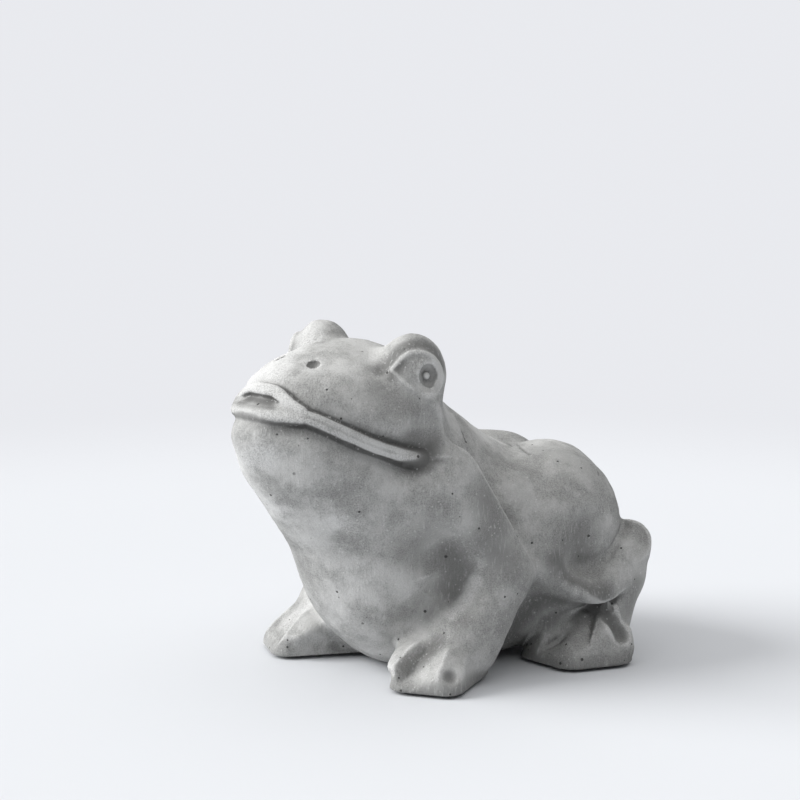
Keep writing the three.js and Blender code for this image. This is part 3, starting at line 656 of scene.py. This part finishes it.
# Belly plate: a round plate of the same cement, cast flat on a board and let into the rebate that
# the core's opening leaves under the belly.
plate_cement, tree, shader = new_finish("plate_cement")
marks = add(tree, "ShaderNodeGroup", node_tree=grain).outputs
colour = tint(tree, spread(tree, marks["Mottle"], 0.3, 0.7), (0.2, 0.2, 0.195, 1),
              (0.34, 0.34, 0.33, 1))
colour = tint(tree, value_of(tree, "MULTIPLY", marks["Pores"], 0.8), colour,
              (0.06, 0.06, 0.058, 1))
cover(tree, shader, colour, marks["Height"], 0.4, 0.0006)
shader.inputs["Roughness"].default_value = 0.92
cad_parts["belly_plate"].data.materials.clear()
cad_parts["belly_plate"].data.materials.append(plate_cement)

# Plate mortar: a ring of sandy mortar that beds the plate in its rebate, pressed into the joint
# round the plate and struck off flush.
mortar, tree, shader = new_finish("sandy_mortar")
marks = add(tree, "ShaderNodeGroup", node_tree=grain).outputs
colour = tint(tree, spread(tree, marks["Speckle"], 0.3, 0.7), (0.25, 0.245, 0.23, 1),
              (0.46, 0.455, 0.43, 1))
cover(tree, shader, colour, marks["Speckle"], 0.7, 0.0008)
shader.inputs["Roughness"].default_value = 0.95
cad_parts["plate_mortar"].data.materials.clear()
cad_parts["plate_mortar"].data.materials.append(mortar)

# Felt pads: four cut from a sheet of dense grey felt and glued under the soles, so that the
# cement doesn't scratch a table. The cut edges waver a little and are rounded over.
PAD_STEPS = 96
PAD_THICKNESS = 1.2
PAD_RINGS = [(0.2, 0.0), (0.55, 0.0), (0.9, 0.0), (0.985, 0.12), (1.0, 0.4), (1.0, 0.85),
             (0.985, 1.1), (0.9, PAD_THICKNESS), (0.55, PAD_THICKNESS), (0.2, PAD_THICKNESS)]
felt, tree, shader = new_finish("grey_felt")
where = add(tree, "ShaderNodeTexCoord").outputs["Object"]
fibres = noise(tree, where, 1400, 4, 0.7)
colour = tint(tree, spread(tree, fibres, 0.3, 0.7), (0.028, 0.028, 0.03, 1),
              (0.075, 0.075, 0.08, 1))
cover(tree, shader, colour, fibres, 0.8, 0.0004)
shader.inputs["Roughness"].default_value = 1.0


def felt_mesh(name, half_size, corner, way, at, yaw):
    around = np.linspace(0, 2 * math.pi, PAD_STEPS + 1)[:-1]
    rounded = corner * np.stack([np.cos(around), np.sin(around)], 1)
    middles = np.sign(np.round(rounded, 6)) * np.subtract(half_size, corner)
    waver = 1 + 0.006 * np.sin(7 * around + at[1]) + 0.005 * np.sin(13 * around)
    cut = (rounded + middles) * waver[:, None]
    spin = math.radians(yaw)
    cut = cut @ np.array([[math.cos(spin), math.sin(spin)], [-math.sin(spin), math.cos(spin)]])
    cut = (cut + at) * (way, 1)
    middle = np.array(at) * (way, 1)
    rings = [np.column_stack([middle + (cut - middle) * wide, np.full(PAD_STEPS, high)])
             for wide, high in PAD_RINGS]
    places = np.concatenate(rings)
    first = range(0, len(places), PAD_STEPS)
    sides = [(a + i, a + (i + 1) % PAD_STEPS, b + (i + 1) % PAD_STEPS, b + i)[::way]
             for a, b in zip(first, first[1:]) for i in range(PAD_STEPS)]
    ends = [tuple(range(PAD_STEPS))[::-way], tuple(range(first[-1], len(places)))[::way]]
    made = bpy.data.meshes.new(name)
    made.from_pydata((places * MM + np.array(frog_middle)).tolist(), [], sides + ends)
    made.polygons.foreach_set("use_smooth", [True] * len(made.polygons))
    made.materials.append(felt)
    return made


for place, half_size, corner, sole in (("front", (13.5, 21.5), 5, FRONT_SOLE),
                                       ("hind", (20, 17), 7, HIND_SOLE)):
    for side, way in (("left", 1), ("right", -1)):
        name = f"{place}_{side}_felt"
        pad = placed(name, felt_mesh(name, half_size, corner, way, **sole))
        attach(pad, "root")
        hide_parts(f"{place}_{side}_pad")

# Table: a pale round table top, far wider than the frog. It keeps the frog's shadow and, further
# off, fades into the plain pale room.
TABLE_RADIUS, TABLE_STEPS = 3, 96
FADE_FROM, FADE_TO = 0.45, 0.8
ROOM_COLOUR = (0.815, 0.825, 0.86, 1)


def straight_ray(tree):
    seen = add(tree, "ShaderNodeLightPath").outputs
    direct = value_of(tree, "MAXIMUM", seen["Is Camera Ray"], seen["Is Glossy Ray"])
    return value_of(tree, "MAXIMUM", direct, seen["Is Transmission Ray"])


turns = np.linspace(0, 2 * math.pi, TABLE_STEPS + 1)[:-1]
rim = [frog_middle + Vector((TABLE_RADIUS * math.cos(turn), TABLE_RADIUS * math.sin(turn), 0))
       for turn in turns]
table_mesh = bpy.data.meshes.new("table")
table_mesh.from_pydata([place[:] for place in rim], [], [tuple(range(TABLE_STEPS))])
table = placed("table", table_mesh)
pale, tree, shader = new_finish("pale_table")
shader.inputs["Base Color"].default_value = (0.72, 0.735, 0.76, 1)
shader.inputs["Roughness"].default_value = 0.7
shader.inputs["Specular IOR Level"].default_value = 0.2
spot = add(tree, "ShaderNodeNewGeometry").outputs["Position"]
from_frog = add(tree, "ShaderNodeVectorMath", {0: spot}, operation="LENGTH").outputs["Value"]
far_off = value_of(tree, "MULTIPLY", straight_ray(tree),
                   spread(tree, from_frog, FADE_FROM, FADE_TO))
far_glow = add(tree, "ShaderNodeEmission", {"Color": ROOM_COLOUR, "Strength": 1.0})
both = add(tree, "ShaderNodeMixShader", {0: far_off, 1: shader.outputs[0], 2: far_glow.outputs[0]})
tree.links.new(both.outputs[0], tree.nodes["Material Output"].inputs["Surface"])
table_mesh.materials.append(pale)

# Light: a broad soft window at the left of the picture, a pale ceiling above the frog and a dim
# room all round.
view_pan = math.radians(48.10)
across = Vector((math.cos(view_pan), math.sin(view_pan), 0))
away = Vector((-math.sin(view_pan), math.cos(view_pan), 0))
room = bpy.data.worlds.new("room")
bpy.context.scene.world = room
room.use_nodes = True
tree = room.node_tree
dim = tree.nodes["Background"]
dim.inputs["Color"].default_value = (0.97, 0.98, 1, 1)
dim.inputs["Strength"].default_value = 0.14
seen_wall = add(tree, "ShaderNodeBackground", {"Color": ROOM_COLOUR, "Strength": 1.0})
both = add(tree, "ShaderNodeMixShader", {0: straight_ray(tree), 1: dim.outputs[0],
                                         2: seen_wall.outputs[0]})
tree.links.new(both.outputs[0], tree.nodes["World Output"].inputs["Surface"])
window = placed("window", bpy.data.lights.new("window", "SUN"))
window.data.energy = 3.25
window.data.angle = math.radians(40)
window.rotation_mode = "QUATERNION"
falling = across * 0.88 + away * 0.02 - Vector((0, 0, 0.5))
window.rotation_quaternion = falling.to_track_quat("-Z", "Y")
ceiling = placed("ceiling", bpy.data.lights.new("ceiling", "SUN"))
ceiling.data.energy = 1.75
ceiling.data.angle = math.radians(100)

# Camera: a long lens from the frog's front left, a little above it, looking slightly down at
# about the height of its mouth.
camera = placed("camera", bpy.data.cameras.new("camera"))
camera.data.lens = 117
camera.data.sensor_width = 36
camera.data.clip_start = 0.05
azimuth, elevation, distance = math.radians(47.622), math.radians(11.673), 1.28097
view_tilt = math.radians(9.08)
body_middle = frog_middle + Vector((0, 0, 0.07))
toward_camera = Vector((math.sin(azimuth) * math.cos(elevation),
                        -math.cos(azimuth) * math.cos(elevation), math.sin(elevation)))
camera.location = body_middle + distance * toward_camera
camera.rotation_euler = (math.pi / 2 - view_tilt, 0, view_pan)
bpy.context.scene.camera = camera
bpy.context.scene.view_settings.view_transform = "Standard"
